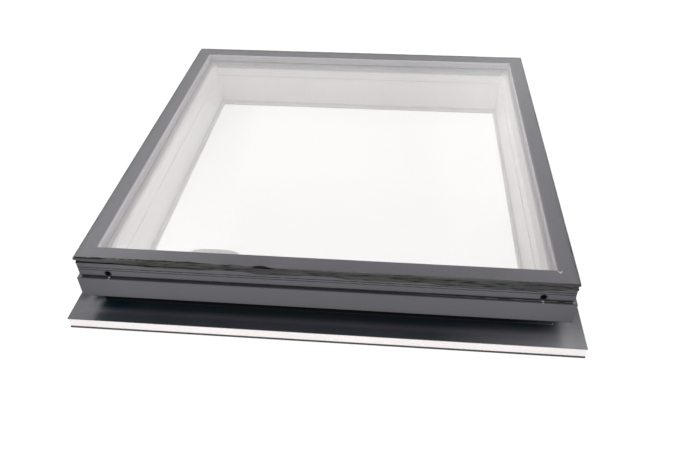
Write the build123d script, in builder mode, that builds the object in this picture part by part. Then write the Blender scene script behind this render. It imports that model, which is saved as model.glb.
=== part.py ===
from build123d import *
import os

# Fixed flat-roof skylight: a stepped double-glazed unit in a grooved aluminium sash, on a white
# multi-chamber kerb dressed with an aluminium fascia and flange. Lengths are in millimetres.
# The origin is at the middle of the underside, +Z is up, and the front faces -Y.
# Sections are drawn with x as the distance outwards from the edge of the glass, and y as the height.

# Glazing unit
glass_length = 1000.0
glass_width = 1000.0
glass_corner_cut = 1.5
glass_arris = 0.8
outer_pane_thickness = 6.0
cavity_depth = 20.0
inner_pane_thickness = 8.8
inner_pane_step = 30.0
frit_width = 38.8
frit_thickness = 0.3
unit_seal_width = 3.5
spacer_width = 6.5
spacer_wall = 1.0
spacer_shoulder = 1.2
spacer_key_leg = 45.0
spacer_key_clearance = 0.2

# Sealant bead that bonds the outer pane to the sash and laps over the edge of the glass
bead_height = 8.2
bead_width = 24.5
bead_skin = 0.5
bead_lap = 3.0

# Sash of the glazing unit
sash_inset = 2.0
sash_width = 25.0
sash_height = 32.5
sash_wall = 2.5
sash_edge_radius = 0.8
groove_width = 1.4
groove_depth = 0.9
groove_drop = 12.0
groove_pitch = 5.6
cleat_leg = 45.0
cleat_clearance = 0.3

# White liner inside the sash, and what seats the inner pane on it
liner_width = 35.0
liner_wall = 3.0
liner_web = 2.0
liner_edge_radius = 2.0
pane_tape_thickness = 1.2
pane_tape_width = 12.0
pane_tape_inset = 4.0
setting_block_length = 60.0
setting_block_spacing = 500.0

# Screws near each end of each sash length, driven through an access hole in its side
screw_end_distance = 63.0
screw_height = 6.2
screw_access_radius = 5.5
screw_access_overrun = 1.5
screw_shank_radius = 2.1
screw_head_radius = 3.5
screw_head_height = 3.0
screw_length = 16.0
screw_clearance = 0.15

# Kerb
tape_thickness = 4.0
base_height = 22.5
base_reach = 62.0
upstand_width = 36.5
upstand_height = 73.7
toe_projection = 8.0
toe_height = 7.0
toe_radius = 2.5
kerb_edge_radius = 1.0
kerb_wall = 3.0
kerb_web = 2.0
base_chambers = 4
upstand_rows = 3
upstand_columns = 2
inner_seal_height = 1.2
inner_seal_width = 8.0
inner_seal_inset = 26.5

# Aluminium dressing of the kerb
sheet_thickness = 2.0
sheet_overhang = 1.0
sheet_bend_radius = 2.0
sheet_top_drop = 12.0
undercut_height = 38.8
fascia_height = 51.0
fascia_proud = 3.5
fascia_wall = 2.5
fascia_edge_radius = 1.0
cap_box_height = 14.0
cap_leg_length = 44.0
cap_clearance = 0.3
drip_lip = 4.0
drip_lip_height = 2.0
cap_cleat_leg = 70.0

# Weather seal between kerb and sash: a foot in a slot, and a lip that leans outwards
joint_gap = 4.5
seal_slot_width = 5.0
seal_slot_depth = 1.2
seal_slot_setback = 10.0
seal_lip_thickness = 1.4
seal_lip_lean = 2.4

# Screws that hold the fascia to the kerb
cap_screws_per_side = 2
cap_screw_pitch = 600.0
cap_screw_drop = 6.0
cap_screw_shank_radius = 2.0
cap_screw_head_radius = 4.0
cap_screw_head_height = 2.6
cap_screw_length = 14.0

# Heights above the roof
base_bottom = tape_thickness
base_top = base_bottom + base_height
flange_top = base_top + sheet_thickness
kerb_top = base_top + upstand_height
sheet_top = kerb_top - sheet_top_drop
fascia_bottom = flange_top + undercut_height
fascia_top = fascia_bottom + fascia_height
sash_bottom = fascia_top + joint_gap
sash_top = sash_bottom + sash_height
frit_bottom = sash_top + bead_height
glass_bottom = frit_bottom + frit_thickness
glass_top = glass_bottom + outer_pane_thickness
inner_pane_top = glass_bottom - cavity_depth
inner_pane_bottom = inner_pane_top - inner_pane_thickness
liner_top = inner_pane_bottom - pane_tape_thickness
liner_bottom = kerb_top + inner_seal_height
cap_box_bottom = fascia_top - cap_box_height
cap_leg_bottom = fascia_top - cap_leg_length
screw_z = sash_bottom + screw_height
cap_screw_z = kerb_top - cap_screw_drop

# Distances outwards from the edge of the glass
sash_outer = -sash_inset
sash_inner = sash_outer - sash_width
screw_seat = sash_inner + sash_wall
bead_inner = sash_outer - bead_width
liner_inner = sash_inner - liner_width
kerb_outer = sash_inner
kerb_inner = kerb_outer - upstand_width
toe_face = kerb_inner - toe_projection
base_outer = kerb_outer + base_reach
sheet_outer = base_outer + sheet_overhang
fascia_outer = fascia_proud
cap_leg_inner = kerb_outer + sheet_thickness + cap_clearance
cap_leg_outer = cap_leg_inner + fascia_wall
seal_x = fascia_outer - seal_slot_setback
unit_edge = -inner_pane_step
spacer_outer = unit_edge - unit_seal_width
spacer_inner = spacer_outer - spacer_width

# How far the mitre cuts reach inside and outside the edge of the glass
mitre_inside = 100.0
mitre_outside = 60.0


class Side:
    """One side of the frame: its planes, and half the length of the glass edge along it."""

    def __init__(self, name, outward, distance, half_run):
        x, y = outward
        self.name = name
        self.outward = Vector(x, y, 0)
        self.along = Vector(-y, x, 0)
        self.middle = self.outward * distance
        self.half_run = half_run
        self.section_plane = Plane(self.middle, x_dir=self.outward, z_dir=self.along * -1)
        self.plan_plane = Plane(self.middle, x_dir=self.outward, z_dir=(0, 0, 1))

    def face_plane(self, distance):
        """Upright plane that faces outwards at this distance from the edge of the glass."""
        return Plane(self.middle + self.outward * distance, x_dir=self.along, z_dir=self.outward)


sides = [
    Side("front", (0, -1), glass_width / 2, glass_length / 2),
    Side("right", (1, 0), glass_length / 2, glass_width / 2),
    Side("back", (0, 1), glass_width / 2, glass_length / 2),
    Side("left", (-1, 0), glass_length / 2, glass_width / 2),
]


def bar(x0, x1, y0, y1, mode=Mode.ADD):
    """Rectangle between two distances and two heights, in the sketch that is open."""
    with Locations(((x0 + x1) / 2, (y0 + y1) / 2)):
        Rectangle(x1 - x0, y1 - y0, mode=mode)


def screw_channel(tip, mouth, height, shank_radius):
    """Cut the channel that screws bite into, along the whole length, in the sketch that is open."""
    half_height = shank_radius + screw_clearance
    bar(tip - screw_clearance, mouth, height - half_height, height + half_height, mode=Mode.SUBTRACT)


def chambers(x0, x1, y0, y1, columns, rows, web):
    """Cut rows and columns of hollows, with webs between them, in the sketch that is open."""
    width = (x1 - x0 - (columns - 1) * web) / columns
    height = (y1 - y0 - (rows - 1) * web) / rows
    with Locations(((x0 + x1) / 2, (y0 + y1) / 2)):
        with GridLocations(width + web, height + web, columns, rows):
            Rectangle(width, height, mode=Mode.SUBTRACT)


def run_along(side, section):
    """Extrude a section along one side and mitre both ends, in the part that is open."""
    with BuildSketch(side.section_plane) as profile:
        add(section)
    extrude(profile.sketch, amount=side.half_run + mitre_outside, both=True)
    inner_run = side.half_run - mitre_inside
    outer_run = side.half_run + mitre_outside
    with BuildSketch(side.plan_plane) as mitre:
        Polygon(
            (-mitre_inside, -inner_run),
            (mitre_outside, -outer_run),
            (mitre_outside, outer_run),
            (-mitre_inside, inner_run),
            align=None,
        )
    extrude(mitre.sketch, amount=glass_top, mode=Mode.INTERSECT)


def glass_rectangle(offset, mode=Mode.ADD):
    """Rectangle that stands off the edge of the glass by this much, in the sketch that is open."""
    Rectangle(glass_length + 2 * offset, glass_width + 2 * offset, mode=mode)


def ring(bottom, height, outer_offset, inner_offset):
    """Flat ring between two distances from the edge of the glass, in the part that is open."""
    with BuildSketch(Plane.XY.offset(bottom)) as plan:
        glass_rectangle(outer_offset)
        glass_rectangle(inner_offset, mode=Mode.SUBTRACT)
    extrude(plan.sketch, amount=height)


def corner_keys(inner, outer, leg, bottom, height):
    """An L at each corner, whose legs lie between two distances, in the part that is open."""
    with BuildSketch(Plane.XY.offset(bottom)) as plan:
        glass_rectangle(outer)
        glass_rectangle(inner, mode=Mode.SUBTRACT)
        Rectangle(glass_length + 2 * (outer - leg), glass_width + 2 * outer, mode=Mode.SUBTRACT)
        Rectangle(glass_length + 2 * outer, glass_width + 2 * (outer - leg), mode=Mode.SUBTRACT)
    extrude(plan.sketch, amount=height)


def hex_screw(head_radius, head_height, shank_radius, length):
    """Hexagon-headed screw along +Z whose head bears on the origin, in the part that is open."""
    with BuildSketch() as head:
        RegularPolygon(head_radius, 6)
    extrude(head.sketch, amount=head_height)
    with BuildSketch() as shank:
        Circle(shank_radius)
    extrude(shank.sketch, amount=-length)


def screw_spots(distance, height, positions):
    """Places on the sides of the frame, facing outwards, at each position along each side."""
    return [
        side.face_plane(distance) * Pos(position, height)
        for side in sides
        for position in positions(side)
    ]


def sash_screw_positions(side):
    """Both ends of one side."""
    reach = side.half_run - screw_end_distance
    return [-reach, reach]


def cap_screw_positions(side):
    """Evenly spaced about the middle of one side."""
    first = -cap_screw_pitch * (cap_screws_per_side - 1) / 2
    return [first + cap_screw_pitch * i for i in range(cap_screws_per_side)]


os.makedirs("parts", exist_ok=True)

# Outer pane: toughened glass with ground edges and dubbed corners
with BuildPart() as outer_pane:
    with BuildSketch(Plane.XY.offset(glass_bottom)) as pane_outline:
        glass_rectangle(0)
        chamfer(pane_outline.vertices(), glass_corner_cut)
    extrude(amount=outer_pane_thickness)
    chamfer(outer_pane.faces().filter_by(Axis.Z).edges(), glass_arris)
outer_pane.part.label = "outer_pane"
export_step(outer_pane.part, "parts/outer_pane.step")

# Ceramic border printed on the underside of the outer pane
with BuildPart() as frit_border:
    with BuildSketch(Plane.XY.offset(frit_bottom)) as print_outline:
        glass_rectangle(-glass_arris)
        chamfer(print_outline.vertices(), glass_corner_cut)
        glass_rectangle(-frit_width, mode=Mode.SUBTRACT)
    extrude(amount=frit_thickness)
frit_border.part.label = "frit_border"
export_step(frit_border.part, "parts/frit_border.step")

# Inner pane: laminated glass, stepped back from the outer pane
with BuildPart() as inner_pane:
    with BuildSketch(Plane.XY.offset(inner_pane_bottom)):
        glass_rectangle(unit_edge)
    extrude(amount=inner_pane_thickness)
    chamfer(inner_pane.faces().filter_by(Axis.Z).edges(), glass_arris)
inner_pane.part.label = "inner_pane"
export_step(inner_pane.part, "parts/inner_pane.step")

# Spacer bars: hollow lengths between the panes, mitred and joined by keys at the corners
with BuildSketch() as spacer_section:
    bar(spacer_inner, spacer_outer, inner_pane_top, frit_bottom)
    chamfer(spacer_section.vertices(), spacer_shoulder)
    bar(
        spacer_inner + spacer_wall,
        spacer_outer - spacer_wall,
        inner_pane_top + spacer_wall,
        frit_bottom - spacer_wall,
        mode=Mode.SUBTRACT,
    )
for side in sides:
    with BuildPart() as spacer:
        run_along(side, spacer_section.sketch)
    spacer.part.label = f"spacer_{side.name}"
    export_step(spacer.part, f"parts/spacer_{side.name}.step")

with BuildPart() as spacer_keys:
    corner_keys(
        spacer_inner + spacer_wall + spacer_key_clearance,
        spacer_outer - spacer_wall - spacer_key_clearance,
        spacer_key_leg,
        inner_pane_top + spacer_wall + spacer_key_clearance,
        frit_bottom - inner_pane_top - 2 * spacer_wall - 2 * spacer_key_clearance,
    )
spacer_keys.part.label = "spacer_keys"
export_step(spacer_keys.part, "parts/spacer_keys.step")

# Edge seal of the unit, behind the spacer
with BuildPart() as unit_seal:
    ring(inner_pane_top, frit_bottom - inner_pane_top, unit_edge, spacer_outer)
unit_seal.part.label = "unit_seal"
export_step(unit_seal.part, "parts/unit_seal.step")

# Tape that beds the inner pane on the liner
with BuildPart() as pane_tape:
    tape_outer = unit_edge - pane_tape_inset
    ring(liner_top, pane_tape_thickness, tape_outer, tape_outer - pane_tape_width)
pane_tape.part.label = "pane_tape"
export_step(pane_tape.part, "parts/pane_tape.step")

# Setting blocks: they stand on the liner and centre the inner pane in the sash
with BuildPart() as setting_blocks:
    for side in sides:
        with BuildSketch(side.plan_plane.offset(liner_top)) as blocks:
            with Locations(((unit_edge + sash_inner) / 2, 0)):
                with GridLocations(1, setting_block_spacing, 1, 2):
                    Rectangle(sash_inner - unit_edge, setting_block_length)
        extrude(blocks.sketch, amount=inner_pane_top - liner_top)
setting_blocks.part.label = "setting_blocks"
export_step(setting_blocks.part, "parts/setting_blocks.step")

# Sealant bead: it leans out from the sash to the glass, wraps its edge and laps over its top
with BuildPart() as glazing_bead:
    with BuildSketch(Plane.XY.offset(sash_top)):
        glass_rectangle(sash_outer)
    with BuildSketch(Plane.XY.offset(glass_bottom)):
        glass_rectangle(bead_skin)
    loft()
    with BuildSketch(Plane.XY.offset(glass_bottom)):
        glass_rectangle(bead_skin)
    extrude(amount=outer_pane_thickness + bead_skin)
    with BuildSketch(Plane.XY.offset(sash_top)):
        glass_rectangle(bead_inner)
    extrude(amount=glass_bottom - sash_top, mode=Mode.SUBTRACT)
    with BuildSketch(Plane.XY.offset(glass_top)):
        glass_rectangle(-bead_lap)
    extrude(amount=bead_skin, mode=Mode.SUBTRACT)
    add(outer_pane.part, mode=Mode.SUBTRACT)
    add(frit_border.part, mode=Mode.SUBTRACT)
glazing_bead.part.label = "glazing_bead"
export_step(glazing_bead.part, "parts/glazing_bead.step")

# Sash lengths: box extrusions with two fine grooves along the outer face and screws at the ends
with BuildSketch() as sash_section:
    bar(sash_inner, sash_outer, sash_bottom, sash_top)
    fillet(sash_section.vertices().group_by(Axis.X)[-1], sash_edge_radius)
    bar(
        sash_inner + sash_wall,
        sash_outer - sash_wall,
        sash_bottom + sash_wall,
        sash_top - sash_wall,
        mode=Mode.SUBTRACT,
    )
    for groove in range(2):
        with Locations((sash_outer, sash_top - groove_drop - groove * groove_pitch)):
            Rectangle(2 * groove_depth, groove_width, mode=Mode.SUBTRACT)
for side in sides:
    with BuildPart() as sash:
        run_along(side, sash_section.sketch)
        for position in sash_screw_positions(side):
            with Locations(side.face_plane(sash_outer) * Pos(position, screw_z)):
                Hole(screw_access_radius, depth=sash_wall + screw_access_overrun)
            with Locations(side.face_plane(screw_seat) * Pos(position, screw_z)):
                Hole(screw_shank_radius + screw_clearance, depth=2 * sash_wall)
    sash.part.label = f"sash_{side.name}"
    export_step(sash.part, f"parts/sash_{side.name}.step")

# Cleats inside the corners of the sash
with BuildPart() as sash_cleats:
    corner_keys(
        sash_inner + sash_wall + cleat_clearance,
        sash_outer - sash_wall - cleat_clearance,
        cleat_leg,
        sash_bottom + sash_wall + cleat_clearance,
        sash_height - 2 * sash_wall - 2 * cleat_clearance,
    )
sash_cleats.part.label = "sash_cleats"
export_step(sash_cleats.part, "parts/sash_cleats.step")

# Sash screws: their heads bear on the sash's inner wall and their shanks reach into the liner
with BuildPart() as sash_screw:
    hex_screw(screw_head_radius, screw_head_height, screw_shank_radius, screw_length)
with BuildPart() as sash_screws:
    with Locations(*screw_spots(screw_seat, screw_z, sash_screw_positions)):
        add(sash_screw.part)
sash_screws.part.label = "sash_screws"
export_step(sash_screws.part, "parts/sash_screws.step")

# Liner lengths: white hollow core inside the sash, with the ledge that carries the inner pane
with BuildSketch() as liner_section:
    bar(liner_inner, sash_inner, liner_bottom, liner_top)
    fillet(liner_section.vertices().group_by(Axis.X)[0], liner_edge_radius)
    chambers(
        liner_inner + liner_wall,
        sash_inner - liner_wall,
        liner_bottom + liner_wall,
        liner_top - liner_wall,
        2,
        1,
        liner_web,
    )
    screw_channel(screw_seat - screw_length, sash_inner, screw_z, screw_shank_radius)
for side in sides:
    with BuildPart() as liner:
        run_along(side, liner_section.sketch)
    liner.part.label = f"liner_{side.name}"
    export_step(liner.part, f"parts/liner_{side.name}.step")

# Kerb lengths: one white multi-chamber extrusion with upstand, base flange and inner toe
with BuildSketch() as kerb_section:
    with BuildLine():
        Polyline(
            (toe_face, base_bottom),
            (base_outer, base_bottom),
            (base_outer, base_top),
            (kerb_outer, base_top),
            (kerb_outer, kerb_top),
            (kerb_inner, kerb_top),
            (kerb_inner, base_bottom + toe_height),
            (toe_face, base_bottom + toe_height),
            close=True,
        )
    make_face()
    fillet(kerb_section.vertices().group_by(Axis.X)[0].sort_by(Axis.Y)[-1], toe_radius)
    fillet(kerb_section.vertices().group_by(Axis.Y)[-1].sort_by(Axis.X)[0], kerb_edge_radius)
    chambers(
        kerb_inner + kerb_wall,
        base_outer - kerb_wall,
        base_bottom + kerb_wall,
        base_top - kerb_wall,
        base_chambers,
        1,
        kerb_web,
    )
    chambers(
        kerb_inner + kerb_wall,
        kerb_outer - kerb_wall,
        base_top,
        kerb_top - kerb_wall,
        upstand_columns,
        upstand_rows,
        kerb_web,
    )
    screw_channel(cap_leg_outer - cap_screw_length, kerb_outer, cap_screw_z, cap_screw_shank_radius)
for side in sides:
    with BuildPart() as kerb:
        run_along(side, kerb_section.sketch)
    kerb.part.label = f"kerb_{side.name}"
    export_step(kerb.part, f"parts/kerb_{side.name}.step")

# Foam strips that the kerb beds on
with BuildSketch() as base_tape_section:
    bar(kerb_inner, base_outer, 0, tape_thickness)
for side in sides:
    with BuildPart() as base_tape:
        run_along(side, base_tape_section.sketch)
    base_tape.part.label = f"base_tape_{side.name}"
    export_step(base_tape.part, f"parts/base_tape_{side.name}.step")

# Flange sheets: one bend, flat on the base flange and up the face of the kerb
with BuildSketch() as sheet_section:
    with BuildLine():
        Polyline(
            (kerb_outer, base_top),
            (sheet_outer, base_top),
            (sheet_outer, flange_top),
            (kerb_outer + sheet_thickness, flange_top),
            (kerb_outer + sheet_thickness, sheet_top),
            (kerb_outer, sheet_top),
            close=True,
        )
    make_face()
    fillet(
        sheet_section.vertices().sort_by_distance((kerb_outer + sheet_thickness, flange_top))[0],
        sheet_bend_radius,
    )
for side in sides:
    with BuildPart() as flange_sheet:
        run_along(side, sheet_section.sketch)
    flange_sheet.part.label = f"flange_sheet_{side.name}"
    export_step(flange_sheet.part, f"parts/flange_sheet_{side.name}.step")

# Fascia lengths: a box along the top, a deep outer blade with a drip lip, and an inner leg that
# laps the flange sheet and is thickened above it, where the screws go through
with BuildSketch() as fascia_section:
    bar(cap_leg_inner, fascia_outer, cap_box_bottom, fascia_top)
    bar(fascia_outer - fascia_wall, fascia_outer, fascia_bottom, fascia_top)
    bar(fascia_outer - drip_lip, fascia_outer, fascia_bottom, fascia_bottom + drip_lip_height)
    bar(cap_leg_inner, cap_leg_outer, cap_leg_bottom, cap_box_bottom)
    bar(kerb_outer + cap_clearance, cap_leg_outer, sheet_top + cap_clearance, kerb_top)
    fillet(fascia_section.vertices().group_by(Axis.X)[-1], fascia_edge_radius)
    bar(
        cap_leg_outer,
        fascia_outer - fascia_wall,
        cap_box_bottom + fascia_wall,
        fascia_top - fascia_wall,
        mode=Mode.SUBTRACT,
    )
    bar(
        seal_x - seal_slot_width / 2,
        seal_x + seal_slot_width / 2,
        fascia_top - seal_slot_depth,
        fascia_top,
        mode=Mode.SUBTRACT,
    )
for side in sides:
    with BuildPart() as fascia:
        run_along(side, fascia_section.sketch)
        for position in cap_screw_positions(side):
            with Locations(side.face_plane(cap_leg_outer) * Pos(position, cap_screw_z)):
                Hole(cap_screw_shank_radius + screw_clearance, depth=cap_leg_outer - kerb_outer)
    fascia.part.label = f"fascia_{side.name}"
    export_step(fascia.part, f"parts/fascia_{side.name}.step")

# Cleats inside the corners of the fascia's box
with BuildPart() as fascia_cleats:
    corner_keys(
        cap_leg_outer + cleat_clearance,
        fascia_outer - fascia_wall - cleat_clearance,
        cap_cleat_leg,
        cap_box_bottom + fascia_wall + cleat_clearance,
        cap_box_height - 2 * fascia_wall - 2 * cleat_clearance,
    )
fascia_cleats.part.label = "fascia_cleats"
export_step(fascia_cleats.part, "parts/fascia_cleats.step")

# Screws that hold the fascia's inner leg to the kerb
with BuildPart() as cap_screw:
    hex_screw(
        cap_screw_head_radius, cap_screw_head_height, cap_screw_shank_radius, cap_screw_length
    )
with BuildPart() as cap_screws:
    with Locations(*screw_spots(cap_leg_outer, cap_screw_z, cap_screw_positions)):
        add(cap_screw.part)
cap_screws.part.label = "cap_screws"
export_step(cap_screws.part, "parts/cap_screws.step")

# Weather seal: a rubber foot in the slot along the top of the fascia, and a lip up to the sash
with BuildSketch() as seal_section:
    bar(
        seal_x - seal_slot_width / 2,
        seal_x + seal_slot_width / 2,
        fascia_top - seal_slot_depth,
        fascia_top,
    )
    with BuildLine():
        Polyline(
            (seal_x, fascia_top - seal_slot_depth),
            (seal_x + seal_lip_thickness, fascia_top - seal_slot_depth),
            (seal_x + seal_lip_thickness + seal_lip_lean, sash_bottom),
            (seal_x + seal_lip_lean, sash_bottom),
            close=True,
        )
    make_face()
for side in sides:
    with BuildPart() as weather_seal:
        run_along(side, seal_section.sketch)
    weather_seal.part.label = f"weather_seal_{side.name}"
    export_step(weather_seal.part, f"parts/weather_seal_{side.name}.step")

# Inner seal between the top of the kerb and the liner
with BuildPart() as inner_seal:
    inner_seal_edge = kerb_outer - inner_seal_inset
    ring(kerb_top, inner_seal_height, inner_seal_edge, inner_seal_edge - inner_seal_width)
inner_seal.part.label = "inner_seal"
export_step(inner_seal.part, "parts/inner_seal.step")
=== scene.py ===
# %% [markdown]
# # A flat-roof skylight
#
# The object is a fixed rooflight: two panes of glass on a dark grooved sash, standing on a white
# hollow kerb with a dark aluminium fascia and flange round it. The solids come from CAD and stay
# where they are. Blender adds what CAD can't say: the finishes, the sealant somebody tooled by hand
# round the edge of the glass, the glass itself, and the studio.

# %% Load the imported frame
from math import cos, pi, radians, sin, sqrt

import bpy
from mathutils import Matrix, Vector, noise


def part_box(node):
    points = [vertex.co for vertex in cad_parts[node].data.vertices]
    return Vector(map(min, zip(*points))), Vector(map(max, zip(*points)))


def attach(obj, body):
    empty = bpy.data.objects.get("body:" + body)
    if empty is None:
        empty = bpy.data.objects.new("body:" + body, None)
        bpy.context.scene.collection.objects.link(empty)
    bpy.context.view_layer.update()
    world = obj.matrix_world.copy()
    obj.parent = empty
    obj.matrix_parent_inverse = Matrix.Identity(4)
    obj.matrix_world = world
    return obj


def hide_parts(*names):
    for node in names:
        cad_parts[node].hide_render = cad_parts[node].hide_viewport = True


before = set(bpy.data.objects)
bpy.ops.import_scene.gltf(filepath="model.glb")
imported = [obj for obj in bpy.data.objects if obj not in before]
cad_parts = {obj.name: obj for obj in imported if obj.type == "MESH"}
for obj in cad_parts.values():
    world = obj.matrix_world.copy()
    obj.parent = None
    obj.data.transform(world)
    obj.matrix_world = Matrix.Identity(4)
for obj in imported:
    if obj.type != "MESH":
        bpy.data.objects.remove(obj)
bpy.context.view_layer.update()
scene = bpy.context.scene
mm = 0.001

# %% [markdown]
# ## Places in the frame
#
# What follows is measured from the solids, never typed again: the top and underside of the glass,
# where its edge is, and the heights of the sash and the flange. Distances round the frame are
# counted outwards from the edge of the glass, because that is how such a frame is drawn.

# %% Read the frame's heights and reaches
pane_low, pane_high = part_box("outer_pane")
inner_low, inner_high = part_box("inner_pane")
sash_low, sash_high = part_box("sash_front")
fascia_low, fascia_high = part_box("fascia_front")
spacer_low, spacer_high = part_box("spacer_front")
half_glass = pane_high.x
glass_bottom = pane_low.z
glass_top = pane_high.z
sash_top = sash_high.z
sash_face = -sash_low.y - half_glass
fascia_bottom = fascia_low.z
fascia_top = fascia_high.z
kerb_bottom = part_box("kerb_front")[0].z
ledge_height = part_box("liner_front")[1].z
print("Glass top at", round(glass_top, 4), "and sash face", round(sash_face, 4), "from the glass edge")

# %% Find the screws in the front
screw_low, screw_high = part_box("sash_screws")
screw_height = (screw_low.z + screw_high.z) / 2
front_only = 0.97 * screw_low.y
screw_corners = [corner.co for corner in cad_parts["sash_screws"].data.vertices]
from_middle = [abs(place.x) for place in screw_corners if place.y < front_only]
screw_place = (min(from_middle) + max(from_middle)) / 2
print("Screws at", round(screw_place, 4), "from the middle,", round(screw_height, 4), "high")

# %% [markdown]
# ## The camera
#
# The photograph was taken standing in front of the skylight, a little to the right, looking down
# at about forty degrees. A fit of the straight edges of the frame gave the place, the turn and the
# lens. The camera's matrix is built from three turns: first the small roll about its own line of
# sight, then the tilt, then the turn about the vertical.

# %% Place the camera
image_width = 700
focal_pixels = 653.2
sensor_width = 36.0

camera_data = bpy.data.cameras.new("camera")
camera_data.sensor_fit = "HORIZONTAL"
camera_data.sensor_width = sensor_width
camera_data.lens = focal_pixels / image_width * sensor_width
camera_data.clip_start = 0.05
camera_data.clip_end = 100.0
camera = bpy.data.objects.new("camera", camera_data)
scene.collection.objects.link(camera)

camera_above_glass = 869.2 * mm
camera_place = Vector((144.9 * mm, -1425.2 * mm, glass_top + camera_above_glass))
camera_turn = radians(5.254)
camera_down = radians(39.643)
camera_roll = radians(-0.593)
camera.matrix_world = (
    Matrix.Translation(camera_place)
    @ Matrix.Rotation(camera_turn, 4, "Z")
    @ Matrix.Rotation(pi / 2 - camera_down, 4, "X")
    @ Matrix.Rotation(camera_roll, 4, "Z")
)
scene.camera = camera
print("Lens in mm:", round(camera_data.lens, 2))

# %% [markdown]
# ## Helpers for the finishes
#
# Every finish starts from the Principled shader, with its plain values written on the shader's own
# sockets. Detail comes from noise that is read in the object's own coordinates. The CAD nodes sit at
# the origin, so those coordinates are simply metres in the room, and a scale of 1000 means grains of
# a millimetre. What happens in one place only, such as a bruise or a smear, is a mask: a number
# from 0 to 1 that is worked out from the place.

# %% Start a finish
def new_finish(name, color, roughness):
    """Start a material and set the plain values of its shader."""
    finish = bpy.data.materials.new(name)
    finish.use_nodes = True
    finish.diffuse_color = (*color, 1.0)
    shader = finish.node_tree.nodes["Principled BSDF"]
    shader.inputs["Base Color"].default_value = (*color, 1.0)
    shader.inputs["Roughness"].default_value = roughness
    return finish


def shader_of(finish):
    return finish.node_tree.nodes["Principled BSDF"]


def dress(finish, *names):
    """Give a finish to the material slots of CAD nodes."""
    for name in names:
        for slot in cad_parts[name].material_slots:
            slot.material = finish
    print(finish.name, "on", len(names), "nodes")


# %% Noise, masks and arithmetic
def grain(finish, scale, stretch=(1.0, 1.0, 1.0), detail=3.0, roughness=0.5):
    """Noise in metres of the room; stretch is how much finer it is along each axis."""
    tree = finish.node_tree
    place = tree.nodes.new("ShaderNodeTexCoord")
    mapping = tree.nodes.new("ShaderNodeMapping")
    mapping.inputs["Scale"].default_value = stretch
    cloud = tree.nodes.new("ShaderNodeTexNoise")
    cloud.inputs["Scale"].default_value = scale
    cloud.inputs["Detail"].default_value = detail
    cloud.inputs["Roughness"].default_value = roughness
    tree.links.new(place.outputs["Object"], mapping.inputs["Vector"])
    tree.links.new(mapping.outputs["Vector"], cloud.inputs["Vector"])
    return cloud.outputs["Fac"]


def between(finish, value, low, high, out_low=0.0, out_high=1.0):
    """Spread the part of a value from low to high over a new range."""
    spread = finish.node_tree.nodes.new("ShaderNodeMapRange")
    spread.inputs["From Min"].default_value = low
    spread.inputs["From Max"].default_value = high
    spread.inputs["To Min"].default_value = out_low
    spread.inputs["To Max"].default_value = out_high
    finish.node_tree.links.new(value, spread.inputs["Value"])
    return spread.outputs["Result"]


def ramp(finish, value, start, end, out_start=0.0, out_end=1.0):
    """The same for a distance, with both its limits in millimetres."""
    return between(finish, value, start * mm, end * mm, out_start, out_end)


def combine(finish, operation, first, second):
    """One step of arithmetic on masks."""
    step = finish.node_tree.nodes.new("ShaderNodeMath")
    step.operation = operation
    for socket, value in zip(step.inputs, (first, second)):
        if isinstance(value, bpy.types.NodeSocket):
            finish.node_tree.links.new(value, socket)
        else:
            socket.default_value = value
    return step.outputs[0]


def along_axis(finish, axis):
    """The place along X, Y or Z, in metres of the room."""
    tree = finish.node_tree
    place = tree.nodes.new("ShaderNodeTexCoord")
    parts = tree.nodes.new("ShaderNodeSeparateXYZ")
    tree.links.new(place.outputs["Object"], parts.inputs["Vector"])
    return parts.outputs[axis]


def size_of(finish, value):
    """A value without its sign."""
    return combine(finish, "ABSOLUTE", value, 0.0)


def overlap(finish, *masks):
    """The product of masks: 1 only where all of them are."""
    shared = masks[0]
    for mask in masks[1:]:
        shared = combine(finish, "MULTIPLY", shared, mask)
    return shared


# %% Colour, roughness and relief
def blend_color(finish, mask, under, over):
    """Mix two colours by a mask; either may be a colour or another node's output."""
    tree = finish.node_tree
    mixer = tree.nodes.new("ShaderNodeMix")
    mixer.data_type = "RGBA"
    tree.links.new(mask, mixer.inputs["Factor"])
    for socket, value in ((mixer.inputs[6], under), (mixer.inputs[7], over)):
        if isinstance(value, bpy.types.NodeSocket):
            tree.links.new(value, socket)
        else:
            socket.default_value = (*value, 1.0)
    return mixer.outputs[2]


def paint(finish, color):
    finish.node_tree.links.new(color, shader_of(finish).inputs["Base Color"])


def mottle(finish, value, low, high, dark, light):
    """Paint with two colours, spread over the part of a noise from low to high."""
    paint(finish, blend_color(finish, between(finish, value, low, high), dark, light))


def roughen(finish, value):
    finish.node_tree.links.new(value, shader_of(finish).inputs["Roughness"])


def relief(finish, height, depth, strength=1.0):
    """Raise and lower the light on the surface by a height field; reliefs add up when called again."""
    tree = finish.node_tree
    bump = tree.nodes.new("ShaderNodeBump")
    bump.inputs["Strength"].default_value = strength
    bump.inputs["Distance"].default_value = depth
    tree.links.new(height, bump.inputs["Height"])
    normal = shader_of(finish).inputs["Normal"]
    if normal.is_linked:
        tree.links.new(normal.links[0].from_socket, bump.inputs["Normal"])
    tree.links.new(bump.outputs["Normal"], normal)


sides = ("front", "right", "back", "left")


def four(stem, which=sides):
    return [f"{stem}_{side}" for side in which]


# %% [markdown]
# ## The studio
#
# The skylight lies on a seamless white floor under a white sky, which is how a product is
# photographed when its picture has to stand on a white page. A white world gives soft light from
# all round, with soft glows where a room has its windows and its ceiling. A glow is a smooth step in
# the angle from its middle, which the dot product of two directions gives.

# %% World
scene.view_settings.view_transform = "Standard"

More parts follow.
